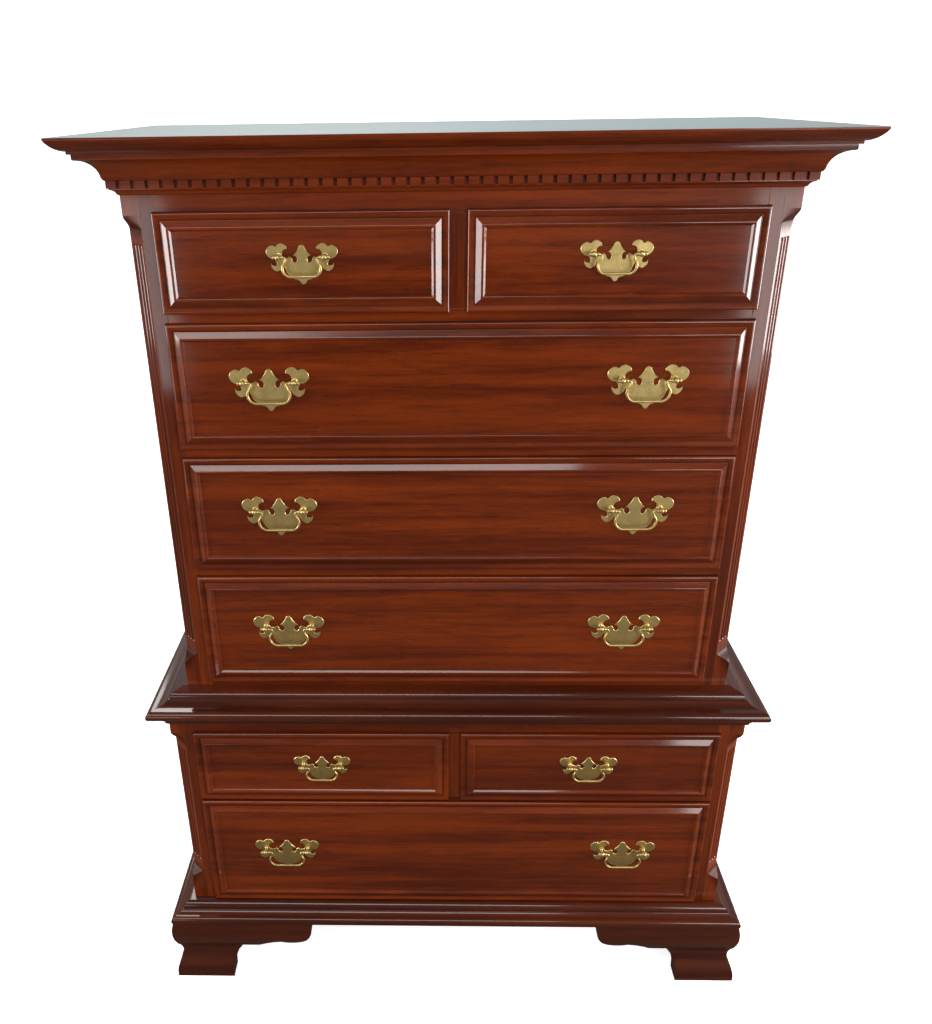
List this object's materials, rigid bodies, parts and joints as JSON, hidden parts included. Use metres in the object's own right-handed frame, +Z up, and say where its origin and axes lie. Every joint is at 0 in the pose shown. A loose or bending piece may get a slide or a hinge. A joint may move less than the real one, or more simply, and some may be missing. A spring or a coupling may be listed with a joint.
{
  "type": "chest on chest",
  "caption": "Tall wooden chest of drawers in two stacked cases, with fluted corners, dentil cornice, ogee bracket feet and brass bail pulls",
  "frame": {"origin": "on the floor under the middle of the chest's overall box", "axes": "+X to the viewer's right, +Y from the drawer fronts to the back, +Z up; the two halves of the chest mirror each other across the plane x = 0"},
  "size_m": [1.132, 0.548, 1.6],
  "materials": {
    "case_wood": "reddish brown cherry, satin lacquer",
    "drawer_wood": "pale secondary wood, plain planed",
    "back_wood": "plain brown panel, unpolished",
    "brass": "antique brass, lacquered"
  },
  "bodies": {
    "carcass": {"upper_side_left": "case_wood", "upper_side_right": "case_wood", "upper_corner_posts": "case_wood", "upper_stiles": "case_wood", "upper_rails": "case_wood", "upper_drawer_runners": "drawer_wood", "upper_back_panel": "back_wood", "upper_bottom_board": "drawer_wood", "lower_side_left": "case_wood", "lower_side_right": "case_wood", "lower_corner_posts": "case_wood", "lower_stiles": "case_wood", "lower_rails": "case_wood", "lower_drawer_runners": "drawer_wood", "lower_back_panel": "back_wood", "lower_bottom_board": "drawer_wood", "lower_top_board": "drawer_wood", "upper_top_board": "case_wood", "crown_moulding": "case_wood", "dentil_moulding": "case_wood", "waist_moulding": "case_wood", "base_moulding": "case_wood", "front_feet": "case_wood", "rear_feet": "case_wood"},
    "top_left_drawer": {"top_left_drawer_front": "case_wood", "top_left_drawer_box": "drawer_wood", "top_left_drawer_pulls": "brass"},
    "top_left_drawer_bail": {"top_left_drawer_bail": "brass"},
    "top_right_drawer": {"top_right_drawer_front": "case_wood", "top_right_drawer_box": "drawer_wood", "top_right_drawer_pulls": "brass"},
    "top_right_drawer_bail": {"top_right_drawer_bail": "brass"},
    "second_drawer": {"second_drawer_front": "case_wood", "second_drawer_box": "drawer_wood", "second_drawer_pulls": "brass"},
    "second_drawer_bail_left": {"second_drawer_bail_left": "brass"},
    "second_drawer_bail_right": {"second_drawer_bail_right": "brass"},
    "third_drawer": {"third_drawer_front": "case_wood", "third_drawer_box": "drawer_wood", "third_drawer_pulls": "brass"},
    "third_drawer_bail_left": {"third_drawer_bail_left": "brass"},
    "third_drawer_bail_right": {"third_drawer_bail_right": "brass"},
    "fourth_drawer": {"fourth_drawer_front": "case_wood", "fourth_drawer_box": "drawer_wood", "fourth_drawer_pulls": "brass"},
    "fourth_drawer_bail_left": {"fourth_drawer_bail_left": "brass"},
    "fourth_drawer_bail_right": {"fourth_drawer_bail_right": "brass"},
    "base_left_drawer": {"base_left_drawer_front": "case_wood", "base_left_drawer_box": "drawer_wood", "base_left_drawer_pulls": "brass"},
    "base_left_drawer_bail": {"base_left_drawer_bail": "brass"},
    "base_right_drawer": {"base_right_drawer_front": "case_wood", "base_right_drawer_box": "drawer_wood", "base_right_drawer_pulls": "brass"},
    "base_right_drawer_bail": {"base_right_drawer_bail": "brass"},
    "base_wide_drawer": {"base_wide_drawer_front": "case_wood", "base_wide_drawer_box": "drawer_wood", "base_wide_drawer_pulls": "brass"},
    "base_wide_drawer_bail_left": {"base_wide_drawer_bail_left": "brass"},
    "base_wide_drawer_bail_right": {"base_wide_drawer_bail_right": "brass"}
  },
  "joints": [
    {"name": "top_left_drawer_slide", "type": "slide", "parent": "carcass", "child": "top_left_drawer", "axis": [0, -1, 0], "range_m": [0, 0.33]},
    {"name": "top_left_drawer_bail_hinge", "type": "hinge", "parent": "top_left_drawer", "child": "top_left_drawer_bail", "pos_m": [-0.22825, -0.2226, 1.43433], "axis": [-1, 0, 0], "range_deg": [-20, 195]},
    {"name": "top_right_drawer_slide", "type": "slide", "parent": "carcass", "child": "top_right_drawer", "axis": [0, -1, 0], "range_m": [0, 0.33]},
    {"name": "top_right_drawer_bail_hinge", "type": "hinge", "parent": "top_right_drawer", "child": "top_right_drawer_bail", "pos_m": [0.22825, -0.2226, 1.43433], "axis": [-1, 0, 0], "range_deg": [-20, 195]},
    {"name": "second_drawer_slide", "type": "slide", "parent": "carcass", "child": "second_drawer", "axis": [0, -1, 0], "range_m": [0, 0.33]},
    {"name": "second_drawer_bail_left_hinge", "type": "hinge", "parent": "second_drawer", "child": "second_drawer_bail_left", "pos_m": [-0.291, -0.2226, 1.24665], "axis": [-1, 0, 0], "range_deg": [-17, 195]},
    {"name": "second_drawer_bail_right_hinge", "type": "hinge", "parent": "second_drawer", "child": "second_drawer_bail_right", "pos_m": [0.291, -0.2226, 1.24665], "axis": [-1, 0, 0], "range_deg": [-17, 195]},
    {"name": "third_drawer_slide", "type": "slide", "parent": "carcass", "child": "third_drawer", "axis": [0, -1, 0], "range_m": [0, 0.33]},
    {"name": "third_drawer_bail_left_hinge", "type": "hinge", "parent": "third_drawer", "child": "third_drawer_bail_left", "pos_m": [-0.291, -0.2226, 1.02915], "axis": [-1, 0, 0], "range_deg": [-17, 195]},
    {"name": "third_drawer_bail_right_hinge", "type": "hinge", "parent": "third_drawer", "child": "third_drawer_bail_right", "pos_m": [0.291, -0.2226, 1.02915], "axis": [-1, 0, 0], "range_deg": [-17, 195]},
    {"name": "fourth_drawer_slide", "type": "slide", "parent": "carcass", "child": "fourth_drawer", "axis": [0, -1, 0], "range_m": [0, 0.33]},
    {"name": "fourth_drawer_bail_left_hinge", "type": "hinge", "parent": "fourth_drawer", "child": "fourth_drawer_bail_left", "pos_m": [-0.291, -0.2226, 0.8049], "axis": [-1, 0, 0], "range_deg": [-17, 195]},
    {"name": "fourth_drawer_bail_right_hinge", "type": "hinge", "parent": "fourth_drawer", "child": "fourth_drawer_bail_right", "pos_m": [0.291, -0.2226, 0.8049], "axis": [-1, 0, 0], "range_deg": [-17, 195]},
    {"name": "base_left_drawer_slide", "type": "slide", "parent": "carcass", "child": "base_left_drawer", "axis": [0, -1, 0], "range_m": [0, 0.35]},
    {"name": "base_left_drawer_bail_hinge", "type": "hinge", "parent": "base_left_drawer", "child": "base_left_drawer_bail", "pos_m": [-0.24488, -0.2521, 0.52483], "axis": [-1, 0, 0], "range_deg": [-20, 195]},
    {"name": "base_right_drawer_slide", "type": "slide", "parent": "carcass", "child": "base_right_drawer", "axis": [0, -1, 0], "range_m": [0, 0.35]},
    {"name": "base_right_drawer_bail_hinge", "type": "hinge", "parent": "base_right_drawer", "child": "base_right_drawer_bail", "pos_m": [0.24488, -0.2521, 0.52483], "axis": [-1, 0, 0], "range_deg": [-20, 195]},
    {"name": "base_wide_drawer_slide", "type": "slide", "parent": "carcass", "child": "base_wide_drawer", "axis": [0, -1, 0], "range_m": [0, 0.35]},
    {"name": "base_wide_drawer_bail_left_hinge", "type": "hinge", "parent": "base_wide_drawer", "child": "base_wide_drawer_bail_left", "pos_m": [-0.324, -0.2521, 0.31815], "axis": [-1, 0, 0], "range_deg": [-17, 195]},
    {"name": "base_wide_drawer_bail_right_hinge", "type": "hinge", "parent": "base_wide_drawer", "child": "base_wide_drawer_bail_right", "pos_m": [0.324, -0.2521, 0.31815], "axis": [-1, 0, 0], "range_deg": [-17, 195]}
  ]
}
